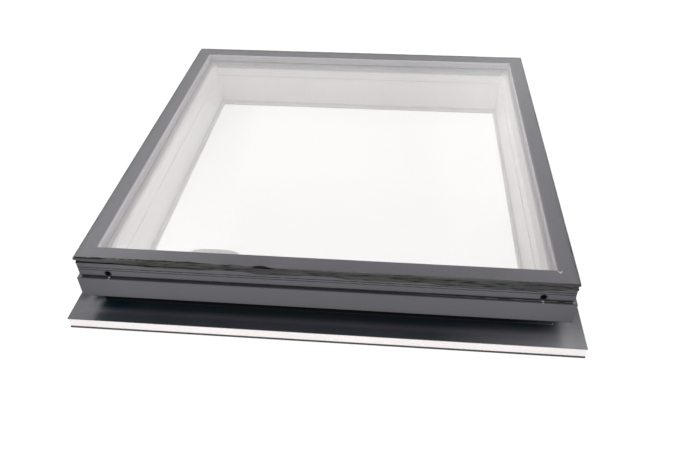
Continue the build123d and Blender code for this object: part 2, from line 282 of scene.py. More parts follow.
world = bpy.data.worlds.new("studio")
scene.world = world
world.use_nodes = True
sky = world.node_tree
sky_direction = sky.nodes.new("ShaderNodeTexCoord").outputs["Generated"]
sky_base = 1.10
glows = (
    (-50, 28, 30, 1.55),
    (42, 14, 42, 1.5),
    (-95, 22, 45, 2.4),
    (170, 25, 55, 0.6),
    (-8, 15, 25, 0.25),
    (0, 88, 45, 0.2),
)


def glow(azimuth, elevation, radius, strength):
    """A soft bright patch of sky; azimuth is counted from the back towards the right, in degrees."""
    a, e = radians(azimuth), radians(elevation)
    towards = sky.nodes.new("ShaderNodeVectorMath")
    towards.operation = "DOT_PRODUCT"
    towards.inputs[1].default_value = (cos(e) * sin(a), cos(e) * cos(a), sin(e))
    sky.links.new(sky_direction, towards.inputs[0])
    patch = between(world, towards.outputs["Value"], cos(radians(radius)), 1.0, 0.0, strength)
    patch.node.interpolation_type = "SMOOTHSTEP"
    return patch


brightness = sky_base
for one_glow in glows:
    brightness = combine(world, "ADD", glow(*one_glow), brightness)
world_light = sky.nodes["Background"]
world_light.inputs["Color"].default_value = (1.0, 1.0, 1.0, 1.0)
sky.links.new(brightness, world_light.inputs["Strength"])
print("Glows in the sky:", len(glows))

# %% [markdown]
# The floor is an ordinary pale surface for the light that bounces off it, but the camera, the
# reflections and the rays that go through the glass see it as nearly white. The Light Path node
# tells these rays apart. A part of the ordinary surface is left in, so the object's shadow stays.
# Inside the well the floor lies in the shade of the kerb, so seen through the glass it is a little
# dimmer, most of all near three of the walls.

# %% Floor
floor_half = 12.0
floor_mesh = bpy.data.meshes.new("floor")
floor_mesh.from_pydata(
    [(x * floor_half, y * floor_half, 0.0) for x, y in ((-1, -1), (1, -1), (1, 1), (-1, 1))],
    [],
    [(0, 1, 2, 3)],
)
floor = bpy.data.objects.new("floor", floor_mesh)
scene.collection.objects.link(floor)

floor_paper = new_finish("floor_paper", (0.90, 0.90, 0.90), 0.9)
shader_of(floor_paper).inputs["Specular IOR Level"].default_value = 0.1
floor_mesh.materials.append(floor_paper)
print("Floor is", 2 * floor_half, "m wide")

# %% How the floor is seen
paper_tree = floor_paper.node_tree
ray = paper_tree.nodes.new("ShaderNodeLightPath")
through_glass = ray.outputs["Is Transmission Ray"]
seen = combine(floor_paper, "MAXIMUM", ray.outputs["Is Camera Ray"], ray.outputs["Is Glossy Ray"])
seen = combine(floor_paper, "MAXIMUM", seen, through_glass)

inside_well = 0.955
wall_shades = (("X", -290, -430, 0.85), ("X", 300, 430, 0.92), ("Y", 80, 430, 0.925))
under_glass = inside_well
for axis, start, end, left_over in wall_shades:
    place = along_axis(floor_paper, axis)
    near_wall = ramp(floor_paper, place, start, end, 1.0, left_over)
    under_glass = combine(floor_paper, "MULTIPLY", near_wall, under_glass)

glowing = paper_tree.nodes.new("ShaderNodeMix")
glowing.inputs[2].default_value = 1.0
paper_tree.links.new(through_glass, glowing.inputs[0])
paper_tree.links.new(under_glass, glowing.inputs[3])
white = paper_tree.nodes.new("ShaderNodeEmission")
paper_tree.links.new(glowing.outputs[0], white.inputs["Strength"])

white_share = 0.88
shown = paper_tree.nodes.new("ShaderNodeMixShader")
paper_tree.links.new(combine(floor_paper, "MULTIPLY", seen, white_share), shown.inputs["Fac"])
paper_tree.links.new(shader_of(floor_paper).outputs["BSDF"], shown.inputs[1])
paper_tree.links.new(white.outputs["Emission"], shown.inputs[2])
paper_tree.links.new(shown.outputs["Shader"], paper_tree.nodes["Material Output"].inputs["Surface"])
print("Walls that shade the floor:", len(wall_shades))

# %% [markdown]
# ## The lamps
#
# Glass this flat is a mirror: a lamp that stands where the camera sees its reflection would show as
# a bright square. Seen from the camera, the pane mirrors the part of the sky behind the skylight,
# between 24 and 43 degrees up, so both lamps stand outside it. They are large and weak. Most of the
# light is the sky's, and the lamps only give the shadows a direction.

# %% Lamps
def softbox(name, place, aim, size, power):
    """A square lamp with a soft edge to its shadow, turned towards a point."""
    data = bpy.data.lights.new(name, "AREA")
    data.shape = "SQUARE"
    data.size = size
    data.energy = power
    lamp = bpy.data.objects.new(name, data)
    lamp.location = place
    lamp.rotation_euler = (Vector(place) - Vector(aim)).to_track_quat("Z", "Y").to_euler()
    scene.collection.objects.link(lamp)


middle = (0.0, 0.0, 0.1)
softbox("softbox_above", (-0.4, -0.9, 2.9), middle, 2.0, 14.0)
softbox("softbox_right", (1.9, 1.5, 2.3), (0.4, -0.3, 0.1), 1.2, 10.0)

# %% [markdown]
# ## Powder coat
# The sash, the fascia and the flange are aluminium with a dark grey satin powder coat. Such a coat
# melts into a skin with very fine orange peel: hills about a millimetre across and hundredths of a
# millimetre high. Two clouds of noise do this, a fine one for the skin and a broad one that changes the
# gloss a little over a hand's width, as the spray gun does. The corners are painted a shade paler, a
# painted highlight along the edges: the Bevel node bends the normal there, and the difference from the
# true normal is the mask.

# %% Powder coat
def corner_mask(finish, radius):
    """Rises from 0 to 1 where a corner is nearer than the radius."""
    tree = finish.node_tree
    soft_corner = tree.nodes.new("ShaderNodeBevel")
    soft_corner.samples = 4
    soft_corner.inputs["Radius"].default_value = radius
    true_normal = tree.nodes.new("ShaderNodeNewGeometry")
    turned = tree.nodes.new("ShaderNodeVectorMath")
    turned.operation = "DOT_PRODUCT"
    tree.links.new(soft_corner.outputs["Normal"], turned.inputs[0])
    tree.links.new(true_normal.outputs["Normal"], turned.inputs[1])
    return between(finish, turned.outputs["Value"], 0.995, 0.90)


def color_now(finish):
    """What the base colour is fed with so far."""
    return shader_of(finish).inputs["Base Color"].links[0].from_socket


def tint(finish, mask, color):
    """Lay another colour where the mask is 1."""
    paint(finish, blend_color(finish, mask, color_now(finish), color))


def cover(finish, mask, color, shine):
    """Lay another coat where the mask is 1: its colour, and how strongly it mirrors."""
    tint(finish, mask, color)
    socket = shader_of(finish).inputs["Specular IOR Level"]
    mixer = finish.node_tree.nodes.new("ShaderNodeMix")
    mixer.inputs[2].default_value = socket.default_value
    mixer.inputs[3].default_value = shine
    if socket.is_linked:
        finish.node_tree.links.new(socket.links[0].from_socket, mixer.inputs[2])
    finish.node_tree.links.new(mask, mixer.inputs[0])
    finish.node_tree.links.new(mixer.outputs[0], socket)


def powder_coat(name, index):
    finish = new_finish(name, (0.029, 0.028, 0.036), 0.32)
    shader_of(finish).inputs["IOR"].default_value = index
    peel = grain(finish, 900.0, detail=2.0)
    broad = grain(finish, 9.0, detail=3.0)
    speck = grain(finish, 2600.0, detail=1.0)
    cloud = between(finish, broad, 0.3, 0.7)
    shade = blend_color(finish, cloud, (0.027, 0.026, 0.034), (0.032, 0.031, 0.040))
    shade = blend_color(finish, between(finish, speck, 0.70, 0.78), shade, (0.050, 0.049, 0.057))
    # Painted highlight: the corners are painted a shade paler
    edge_highlight = combine(finish, "MULTIPLY", corner_mask(finish, 0.6 * mm), 0.55)
    shade = blend_color(finish, edge_highlight, shade, (0.080, 0.079, 0.088))
    paint(finish, shade)
    roughen(finish, between(finish, broad, 0.25, 0.75, 0.27, 0.36))
    relief(finish, peel, 0.06 * mm, 0.5)
    return finish


# %% [markdown]
# The sash was drilled after it was coated. Round each screw hole the coat is bruised and dark. Below
# each hole a pale spot is painted in the gap on top of the fascia and on the fascia's edge, a painted
# highlight. These marks are masks too: the distance from the middle of the hole, measured in the plane
# of the face. The two grooves are painted darker in patches, painted shade, and the ends of each length
# are painted a little darker and duller, painted shade. The front and back lengths run along X and the
# others along Y, so the recipe is used twice. What makes a mark on a dark gloss coat is less its colour
# than its shine, so cover() changes both.

# %% Sash
groove_shade_and_bruise = (0.004, 0.004, 0.005)
shaded = (0.006, 0.006, 0.007)
groove_drops = (12.0 * mm, 17.6 * mm)


def hole_distance(finish, run_axis):
    """Distances from the nearest screw hole: along the length, and from its middle."""
    along = combine(finish, "SUBTRACT", size_of(finish, along_axis(finish, run_axis)), screw_place)
    along = size_of(finish, along)
    rise = combine(finish, "SUBTRACT", along_axis(finish, "Z"), screw_height)
    square = overlap(finish, along, along)
    square = combine(finish, "ADD", square, overlap(finish, rise, rise))
    return along, combine(finish, "SQRT", square, 0.0)


def sash_coat(name, run_axis):
    """The sash's coat, with painted shade in its grooves and a bruise round each screw hole."""
    finish = powder_coat(name, 1.70)
    from_middle = size_of(finish, along_axis(finish, run_axis))
    # Painted shade: a little darker and duller towards the ends of each length
    cover(finish, ramp(finish, from_middle, 400, 490, 0.0, 0.22), shaded, 0.05)
    patchy = grain(finish, 42.0, detail=2.0)
    # Painted shade: the two grooves are painted darker, in patches
    for drop, thickest in zip(groove_drops, (0.9, 0.6)):
        from_groove = combine(finish, "SUBTRACT", along_axis(finish, "Z"), sash_top - drop)
        in_groove = ramp(finish, size_of(finish, from_groove), 1.0, 0.7)
        groove_shade = between(finish, patchy, 0.40, 0.55, 0.15, thickest)
        cover(finish, overlap(finish, in_groove, groove_shade), groove_shade_and_bruise, 0.05)
    from_hole = hole_distance(finish, run_axis)[1]
    cover(finish, ramp(finish, from_hole, 9.5, 5.8, 0.0, 0.9), groove_shade_and_bruise, 0.05)
    return finish


for axis, pair in (("X", ("front", "back")), ("Y", ("left", "right"))):
    dress(sash_coat("powder_sash_" + axis.lower(), axis), *four("sash", pair))

# %% [markdown]
# The fascia's rolled lower hem is painted dark, painted shade, and so are its upper edge and its top,
# seen in the gap under the sash, which is painted dark and dull. The fascia is also painted a little
# darker towards its ends, painted shade. In the gap a thin pale line is painted towards the right, a
# painted highlight. Distances across it are counted outwards from the edge of the glass, and heights
# from its bottom or its top.

# %% Fascia
def fascia_coat(name, run_axis, across_axis):
    """The fascia's coat, with painted highlights below the screw holes and in the gap, and painted
    shade at its ends, hem, rim and top.
    """
    finish = powder_coat(name, 1.745)
    height = along_axis(finish, "Z")
    along = along_axis(finish, run_axis)
    reach = size_of(finish, along_axis(finish, across_axis))
    reach = combine(finish, "SUBTRACT", reach, half_glass)

    def across(start, end, most=1.0):
        return ramp(finish, reach, start, end, 0.0, most)

    def above(level, start, end, most=1.0):
        return between(finish, height, level + start * mm, level + end * mm, 0.0, most)

    # Painted shade: towards the ends, on the hem, on the rim under the sash and on the top in the gap
    cover(finish, ramp(finish, size_of(finish, along), 410, 500, 0.0, 0.18), shaded, 0.05)
    cover(finish, above(fascia_bottom, 2.0, 1.0, 0.9), shaded, 0.05)
    rim = overlap(finish, above(fascia_top, -1.5, -0.8, 0.7), across(2.4, 2.8))
    cover(finish, rim, shaded, 0.08)
    top_face = overlap(finish, above(fascia_top, -0.4, -0.1, 0.4), across(2.3, 1.8))
    cover(finish, top_face, (0.004, 0.006, 0.009), 0.05)

    # Painted highlight: a pale, shiny spot below each screw hole, in the gap and on the fascia's edge
    below_hole = ramp(finish, hole_distance(finish, run_axis)[0], 2.6, 1.6)
    glint_in_gap = overlap(finish, across(-3.4, -2.6), across(0.2, -0.4))
    hole_glint = combine(finish, "ADD", glint_in_gap, across(2.4, 2.9, 0.45))
    hole_glint = overlap(finish, hole_glint, below_hole, above(fascia_top, -0.9, -0.5))
    cover(finish, hole_glint, (0.36, 0.36, 0.36), 0.45)

    # Painted highlight: a thin pale, shiny line on the fascia's top in the gap, towards the right
    gap_highlight = overlap(
        finish,
        overlap(finish, across(-2.5, -1.9), across(-0.9, -1.4)),
        ramp(finish, along, 150, 330, 0.0, 0.8),
        between(finish, grain(finish, 45.0, detail=2.0), 0.38, 0.5),
        above(fascia_top, -0.5, -0.2),
    )
    cover(finish, gap_highlight, (0.20, 0.20, 0.21), 0.6)
    return finish


for axis, across_axis, pair in (("X", "Y", ("front", "back")), ("Y", "X", ("left", "right"))):
    dress(fascia_coat("powder_fascia_" + axis.lower(), axis, across_axis), *four("fascia", pair))

# %% [markdown]
# The flange is a folded sheet. Its upright leg stands behind the fascia and is painted matt black,
# painted shade, less so towards the right, and the painted shade runs a little way out over the fold.
# Further out, below the fascia, the coat is painted darker, painted shade, but not at the corners, and
# the shaded part ends more sharply at the left. The right end of the front flange is painted pale,
# painted light, most of all at its outer edge.

# %% Flange sheet
flange_top = kerb_bottom + 24.5 * mm


def flange_coat():
    """The flange's coat: painted shade below the fascia and on its upright leg, painted light at the
    right.
    """
    finish = powder_coat("powder_flange", 1.58)
    across_x = along_axis(finish, "X")
    out_x = size_of(finish, across_x)
    out_y = size_of(finish, along_axis(finish, "Y"))
    reach = combine(finish, "SUBTRACT", combine(finish, "MAXIMUM", out_x, out_y), half_glass)
    # Painted shade: darker near the fold and below the fascia, but not at the corners
    shade_by_fold = ramp(finish, reach, 9.0, -6.0, 0.0, 0.7)
    shade_under_fascia = ramp(finish, reach, 7.0, 19.0, 0.0, 0.42)
    flange_shade = combine(finish, "MAXIMUM", shade_by_fold, shade_under_fascia)
    more_at_left = ramp(finish, across_x, -380, -450, 1.0, 1.35)
    to_corner = combine(finish, "MINIMUM", out_x, out_y)
    soft_end = ramp(finish, to_corner, 490, 440, 0.12, 1.0)
    on_left = between(finish, across_x, 0.0, -1.0 * mm)
    sharp_end = overlap(finish, ramp(finish, to_corner, 488, 472), on_left)
    short_of_corner = combine(finish, "MAXIMUM", soft_end, sharp_end)
    flange_shade = overlap(finish, flange_shade, more_at_left, short_of_corner)
    cover(finish, flange_shade, (0.002, 0.008, 0.011), 0.05)
    # Painted light: the right end of the front flange is painted paler, most at its outer edge
    painted_light_at_right = overlap(
        finish,
        ramp(finish, across_x, 230, 520, 0.0, 0.68),
        ramp(finish, along_axis(finish, "Y"), -480, -528),
        ramp(finish, out_x, 520, 480, 0.45, 1.0),
    )
    tint(finish, painted_light_at_right, (0.155, 0.152, 0.163))
    # Painted shade: the upright leg behind the fascia is painted black, less so towards the right
    shade_on_upright = between(finish, along_axis(finish, "Z"), flange_top + 0.2 * mm, flange_top + 0.7 * mm)
    less_shade_at_right = ramp(finish, across_x, 390, 450, 1.0, 0.2)
    cover(finish, overlap(finish, shade_on_upright, less_shade_at_right), (0.005, 0.005, 0.006), 0.04)
    return finish


dress(flange_coat(), *four("flange_sheet"))

# %% [markdown]
# ## White kerb and liner
#
# Kerb and liner are white PVC-U pulled through a die. The die leaves hair-fine lines that run along
# each length, so the noise is stretched: squeezed across and drawn out along. Lengths at the front and
# back run along X and the others along Y, and the lengths get whites of different brightness, painted
# light and shade, so the recipe takes a stretch and a colour. Inside, the ledge and the toe are painted
# darker, painted shade. The base, which lies in the open, is painted darker than the upstand, painted
# shade, most of all at its ends. The ledge at the back is painted a darker white, with a grey band over
# its top and a few millimetres down its face, painted shade.

# %% White kerb and liner
def darkened(color, share):
    return tuple(share * part for part in color)


def white_extrusion(name, stretch, white):
    """White PVC-U, with painted shade on its ledge and toe and where the base lies in the open."""
    finish = new_finish(name, white, 0.36)
    die_lines = grain(finish, 260.0, stretch=stretch, detail=2.0)
    cloud = between(finish, grain(finish, 14.0, detail=2.0), 0.35, 0.65)
    height = along_axis(finish, "Z")
    inside = blend_color(finish, cloud, darkened(white, 0.975), white)
    # Painted shade: the ledge and the toe are darker
    ledge = between(finish, height, ledge_height - 0.6 * mm, ledge_height - 0.2 * mm)
    inside = blend_color(finish, ledge, inside, darkened(white, 0.86))
    toe = between(finish, height, kerb_bottom + 12.5 * mm, kerb_bottom + 11.5 * mm)
    inside = blend_color(finish, toe, inside, darkened(white, 0.78))

    out_x = size_of(finish, along_axis(finish, "X"))
    out_y = size_of(finish, along_axis(finish, "Y"))
    # Painted shade: the base outside is darker than the upstand, most at its ends
    outside = blend_color(finish, cloud, (0.628, 0.595, 0.589), (0.655, 0.623, 0.617))
    ends = ramp(finish, combine(finish, "MINIMUM", out_x, out_y), 380, 520)
    outside = blend_color(finish, ends, outside, (0.585, 0.553, 0.550))
    base = between(finish, height, kerb_bottom + 24.0 * mm, kerb_bottom + 22.6 * mm)
    in_the_open = ramp(finish, combine(finish, "MAXIMUM", out_x, out_y), 455, 465)
    paint(finish, blend_color(finish, overlap(finish, base, in_the_open), inside, outside))
    roughen(finish, between(finish, die_lines, 0.3, 0.7, 0.30, 0.42))
    relief(finish, die_lines, 0.05 * mm, 0.35)
    return finish


# Painted light and shade: each length gets a white of its own brightness
lines_along_x = (0.01, 1.0, 1.0)
lines_along_y = (1.0, 0.01, 1.0)
pvc_x = white_extrusion("white_pvc_x", lines_along_x, (0.900, 0.846, 0.846))
pvc_y = white_extrusion("white_pvc_y", lines_along_y, (0.950, 0.916, 0.914))
pvc_liner = white_extrusion("white_pvc_liner", lines_along_y, (0.905, 0.868, 0.866))
dress(pvc_x, *four("kerb", ("front", "back")), "liner_front")
dress(pvc_y, *four("kerb", ("left", "right")))
dress(pvc_liner, *four("liner", ("left", "right")))

# %% Painted shade on the ledge at the back
band_bottom = ledge_height - 7.6 * mm
band_edge = 0.4 * mm
# Painted shade: the back ledge is a darker white, with a grey band over its top edge
shaded_back_pvc = white_extrusion("white_pvc_shaded_back", lines_along_x, (0.845, 0.795, 0.795))
back_ledge_shade = between(shaded_back_pvc, along_axis(shaded_back_pvc, "Z"), band_bottom, band_bottom + band_edge)
tint(shaded_back_pvc, back_ledge_shade, (0.575, 0.560, 0.585))
dress(shaded_back_pvc, "liner_back")

# %% [markdown]
# ## Metal, rubber, foam and plastic
#
# What is left of the CAD nodes are seals, screws, cleats, blocks and tapes. Each gets the finish of
# its stuff: drawn aluminium has lines, rubber a dull talc bloom, foam has cells (a Voronoi pattern
# gives them), tape a weave.

# %% Metal
aluminium = new_finish("mill_aluminium", (0.60, 0.60, 0.61), 0.38)
shader_of(aluminium).inputs["Metallic"].default_value = 1.0
drawn = grain(aluminium, 700.0, stretch=(0.05, 0.05, 1.0), detail=2.0)
mottle(aluminium, drawn, 0.3, 0.7, (0.52, 0.52, 0.53), (0.68, 0.68, 0.69))
roughen(aluminium, between(aluminium, drawn, 0.3, 0.7, 0.28, 0.46))
relief(aluminium, drawn, 0.04 * mm, 0.4)
dress(aluminium, "sash_cleats", "fascia_cleats")

steel = new_finish("blackened_steel", (0.10, 0.10, 0.105), 0.36)
shader_of(steel).inputs["Metallic"].default_value = 1.0
worn = grain(steel, 900.0, detail=3.0)
mottle(steel, worn, 0.50, 0.70, (0.05, 0.05, 0.052), (0.24, 0.24, 0.25))
roughen(steel, between(steel, worn, 0.3, 0.7, 0.28, 0.48))
relief(steel, worn, 0.03 * mm, 0.4)
dress(steel, "sash_screws", "cap_screws")

# %% Rubber and foam
def rubber(name, hole_glint, dusty):
    finish = new_finish(name, hole_glint, 0.62)
    bloom = grain(finish, 160.0, detail=4.0)
    pores = grain(finish, 2200.0, detail=1.0)
    mottle(finish, bloom, 0.45, 0.75, hole_glint, dusty)
    roughen(finish, between(finish, bloom, 0.3, 0.7, 0.52, 0.72))
    relief(finish, pores, 0.04 * mm, 0.5)
    return finish


black_rubber = rubber("black_rubber", (0.014, 0.014, 0.015), (0.045, 0.045, 0.047))
dress(black_rubber, *four("weather_seal"))
dress(rubber("pale_seal", (0.60, 0.59, 0.60), (0.70, 0.69, 0.70)), "inner_seal")

foam = new_finish("dark_foam", (0.06, 0.06, 0.06), 0.9)
foam_nodes = foam.node_tree.nodes
foam_place = foam_nodes.new("ShaderNodeTexCoord")
cells = foam_nodes.new("ShaderNodeTexVoronoi")
cells.inputs["Scale"].default_value = 1400.0
foam.node_tree.links.new(foam_place.outputs["Object"], cells.inputs["Vector"])
mottle(foam, cells.outputs["Distance"], 0.1, 0.6, (0.012, 0.012, 0.012), (0.04, 0.04, 0.04))
relief(foam, cells.outputs["Distance"], 0.2 * mm, 0.8)

# %% Tape and blocks
tape = new_finish("white_tape", (0.75, 0.74, 0.75), 0.7)
weave = grain(tape, 1500.0, stretch=(1.0, 1.0, 0.3), detail=2.0)
mottle(tape, weave, 0.3, 0.7, (0.63, 0.62, 0.63), (0.73, 0.72, 0.73))
relief(tape, weave, 0.08 * mm, 0.6)
dress(tape, "pane_tape")

block_plastic = new_finish("block_plastic", (0.10, 0.14, 0.28), 0.5)
moulded = grain(block_plastic, 700.0, detail=2.0)
paint(block_plastic, blend_color(block_plastic, moulded, (0.08, 0.12, 0.25), (0.12, 0.16, 0.31)))
relief(block_plastic, moulded, 0.05 * mm, 0.5)
dress(block_plastic, "setting_blocks")

# %% [markdown]
# ## Spacer and edge seal
#
# Between the panes runs a grey spacer bar filled with drying beads. Its face towards the cavity has
# two rows of pin holes, so that the beads can take the damp out of the air inside. The holes are too
# small to model, so a cosine along the bar and two narrow bands across it darken and dent the finish.

# %% Spacer and edge seal
hole_pitch = 4.0 * mm
row_offset = 3.0 * mm
spacer_middle = (spacer_low.z + spacer_high.z) / 2


def spacer_finish(name, run_axis):
    finish = new_finish(name, (0.42, 0.39, 0.42), 0.42)
    satin = between(finish, grain(finish, 500.0, detail=2.0), 0.3, 0.7)
    metal = blend_color(finish, satin, (0.370, 0.328, 0.376), (0.413, 0.371, 0.419))
    cycle = combine(finish, "MULTIPLY", along_axis(finish, run_axis), 2 * pi / hole_pitch)
    dots = between(finish, combine(finish, "COSINE", cycle, 0.0), 0.75, 0.9)
    off_middle = combine(finish, "SUBTRACT", along_axis(finish, "Z"), spacer_middle)
    off_row = combine(finish, "SUBTRACT", size_of(finish, off_middle), row_offset)
    in_row = ramp(finish, size_of(finish, off_row), 0.6, 0.4)
    holes = overlap(finish, dots, in_row)
    paint(finish, blend_color(finish, holes, metal, (0.05, 0.05, 0.05)))
    relief(finish, combine(finish, "SUBTRACT", 1.0, holes), 0.2 * mm, 0.6)
    return finish


dress(spacer_finish("spacer_grey_x", "X"), *four("spacer", ("front", "back")))
dress(spacer_finish("spacer_grey_y", "Y"), *four("spacer", ("left", "right")), "spacer_keys")

edge_sealant = new_finish("edge_sealant", (0.030, 0.031, 0.030), 0.55)
gummy = grain(edge_sealant, 120.0, detail=4.0)
paint(edge_sealant, blend_color(edge_sealant, gummy, (0.022, 0.023, 0.022), (0.042, 0.043, 0.042)))
relief(edge_sealant, gummy, 0.4 * mm, 0.6)
dress(edge_sealant, "unit_seal")

# %% [markdown]
# ## The printed border
#
# The border is dark grey enamel, screen printed on the underside of the pane and fired, so it and the
# glass are one: there is no air between them, and the border is seen through the glass with only the
# gleam of the pane's top. The same recipe therefore makes two finishes. One is for the print as it
# shows from below, and one goes on the underside of the glass itself, where it is fused. At its inner
# corner on the right a pale V is painted on the print, a painted highlight: two lines, from the
# absolute value of X. Along the sides its inner edge thins out in fine dots, and on the left it stops a
# few millimetres early.

# %% Printed border
def enamel(name, low, high, gloss):
    finish = new_finish(name, low, 0.45)
    shader_of(finish).inputs["Specular IOR Level"].default_value = gloss
    cloudy = grain(finish, 22.0, detail=4.0)
    tooth = grain(finish, 1800.0, detail=1.0)
    mottle(finish, cloudy, 0.3, 0.7, low, high)
    roughen(finish, between(finish, tooth, 0.3, 0.7, 0.38, 0.52))
    relief(finish, tooth, 0.02 * mm, 0.2)
    return finish


print_inside = half_glass - 38.8 * mm
printed = enamel("printed_grey", (0.037, 0.036, 0.042), (0.043, 0.042, 0.048), 0.4)
fused = enamel("fused_print", (0.093, 0.088, 0.106), (0.103, 0.098, 0.117), 0.0)
dress(printed, "frit_border")

# %% Painted highlight at the corner and thinned edges of the print
print_x = along_axis(fused, "X")
print_y = along_axis(fused, "Y")
# Painted highlight: a pale V at the print's inner corner on the right
highlight_across = 466.3 * mm
highlight_depth = -468.0 * mm
slope = 1.35
sideways = size_of(fused, combine(fused, "SUBTRACT", print_x, highlight_across))
arms = combine(fused, "ADD", combine(fused, "MULTIPLY", sideways, slope), highlight_depth)
from_arms = size_of(fused, combine(fused, "SUBTRACT", print_y, arms))
on_arms = ramp(fused, from_arms, 1.3, 0.7)
corner_highlight = overlap(fused, on_arms, ramp(fused, sideways, 4.8, 4.2))
tint(fused, corner_highlight, (0.75, 0.74, 0.76))

from_side = combine(fused, "SUBTRACT", size_of(fused, print_x), print_inside)
along_side = between(fused, size_of(fused, print_y), print_inside + 0.5 * mm, print_inside - 0.5 * mm)
halftone = overlap(fused, ramp(fused, from_side, 3.6, 2.8), along_side)
tint(fused, halftone, (0.178, 0.168, 0.190))
on_left = between(fused, print_x, 0.0, -1.0 * mm)
short_print = overlap(fused, ramp(fused, from_side, 4.6, 3.0), on_left, along_side)
tint(fused, short_print, (0.40, 0.365, 0.405))
print("Print reaches in to", round(print_inside, 4), "from the middle")

# %% [markdown]
# ## The glass
#
# A pane is a slab with ground edges. Cycles needs a closed mesh, so that light bends on the way in and
# again on the way out. A pane that touches its neighbour face to face flickers, because a ray can't
# tell which face is first, so these slabs are rebuilt a twentieth of a millimetre thinner and stand
# for the CAD panes. The faces are clear, the narrow ground edges have a finish of their own, and the
# underside of the outer pane carries the print as a frame of faces round the clear middle.

# %% Helpers for the meshes
def add_piece(name, vertices, faces, replaced, finishes):
    """Make a mesh piece that rides on the frame and stands for CAD nodes."""
    mesh = bpy.data.meshes.new(name)
    mesh.from_pydata(vertices, [], faces)
    mesh.validate()
    mesh.update()
    for finish in finishes:
        mesh.materials.append(finish)
    piece = bpy.data.objects.new(name, mesh)
    scene.collection.objects.link(piece)
    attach(piece, "root")
    if replaced:
        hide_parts(*replaced)
    print(name, "has", len(mesh.polygons), "faces")
    return piece


quarters = ((1, -1), (1, 1), (-1, 1), (-1, -1))


def dubbed_rectangle(half_x, half_y, cut):
    """Corners of a rectangle whose four corners are cut off, anticlockwise from the right front."""
    points = []
    for sx, sy in quarters:
        along_first = (sx * (half_x - cut), sy * half_y)
        across_first = (sx * half_x, sy * (half_y - cut))
        points += [along_first, across_first] if sx * sy < 0 else [across_first, along_first]
    return points


least_cut = 0.1 * mm


def slab(low, high, cut, arris):
    """Vertices and side faces of a pane with cut corners and chamfered edges, in four levels."""
    half_x = (high.x - low.x) / 2
    half_y = (high.y - low.y) / 2
    levels = ((low.z, arris), (low.z + arris, 0.0), (high.z - arris, 0.0), (high.z, arris))
    vertices = []
    for z, inset in levels:
        inset_cut = cut - inset * (2 - sqrt(2)) if cut else 0.0
        outline = dubbed_rectangle(half_x - inset, half_y - inset, max(inset_cut, least_cut))
        vertices += [(x, y, z) for x, y in outline]
    count = 8
    walls = []
    for level in range(3):
        for i in range(count):
            j = (i + 1) % count
            a, b = level * count, (level + 1) * count
            walls.append((a + i, a + j, b + j, b + i))
    top = tuple(range(3 * count, 4 * count))
    return vertices, walls, top


def stitch(rings, points):
    """Faces between closed sections, each with so many points, that go round in a closed loop."""
    faces = []
    for ring in range(rings):
        a, b = ring * points, (ring + 1) % rings * points
        for k in range(points):
            m = (k + 1) % points
            faces.append((a + k, b + k, b + m, a + m))
    return faces


# %% Glass
clear_glass = new_finish("clear_glass", (1.0, 0.995, 0.99), 0.0)
shader_of(clear_glass).inputs["Transmission Weight"].default_value = 1.0
shader_of(clear_glass).inputs["IOR"].default_value = 1.52
roller_wave = grain(clear_glass, 5.0, stretch=(1.0, 0.25, 1.0), detail=1.0)
relief(clear_glass, roller_wave, 0.15 * mm, 0.05)

ground_edge = new_finish("ground_edge", (0.040, 0.042, 0.043), 0.5)
shader_of(ground_edge).inputs["Specular IOR Level"].default_value = 0.2
ground = grain(ground_edge, 900.0, detail=3.0)
mottle(ground_edge, ground, 0.3, 0.7, (0.032, 0.034, 0.035), (0.048, 0.050, 0.051))
relief(ground_edge, ground, 0.05 * mm, 0.6)

# %% Outer pane
face_gap = Vector((0.0, 0.0, 0.05 * mm))
arris = 0.8 * mm
corner_cut = 1.5 * mm
clear, edge, print_face = 0, 1, 2

vertices, walls, top = slab(pane_low + face_gap, pane_high, corner_cut, arris)
first_inner = len(vertices)
for sx, sy in quarters:
    vertices.append((sx * print_inside, sy * print_inside, pane_low.z + face_gap.z))
print_faces = []
for corner in range(4):
    after = (corner + 1) % 4
    print_faces.append((2 * corner + 1, 2 * corner, first_inner + corner))
    print_faces.append((2 * after, 2 * corner + 1, first_inner + corner, first_inner + after))
middle_face = tuple(first_inner + corner for corner in (3, 2, 1, 0))
outer_glass = add_piece(
    "outer_glass",
    vertices,
    [top, middle_face] + walls + print_faces,
    ["outer_pane"],
    (clear_glass, ground_edge, fused),
)
for index, face in enumerate(outer_glass.data.polygons):
    face.material_index = clear if index < 2 else edge if index < 2 + len(walls) else print_face

# %% Inner pane
vertices, walls, top = slab(inner_low + face_gap, inner_high - face_gap, 0.0, arris)
bottom = tuple(range(7, -1, -1))
inner_glass = add_piece(
    "inner_glass",
    vertices,
    [top, bottom] + walls,
    ["inner_pane"],
    (clear_glass, ground_edge),
)
for index, face in enumerate(inner_glass.data.polygons):
    face.material_index = clear if index < 2 else edge

# %% [markdown]
# ## The tape under the base
#
# The foam tape carries the weight of the skylight, so it is squeezed and bulges out a little at the
# edges. CAD drew it square. Here the four strips become one ring. Its outer face swells and rises a
# little in front of the base's lower corner, and the dark foam that rises there also stands for the
# contact shadow under the base, painted shade.

# %% Squeezed tape
tape_low, tape_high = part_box("base_tape_front")
tape_outer = -tape_low.y
tape_inner = -tape_high.y
tape_top = tape_high.z - 0.02 * mm
clear_of_base = 0.05 * mm
inner_bulge = 0.6 * mm
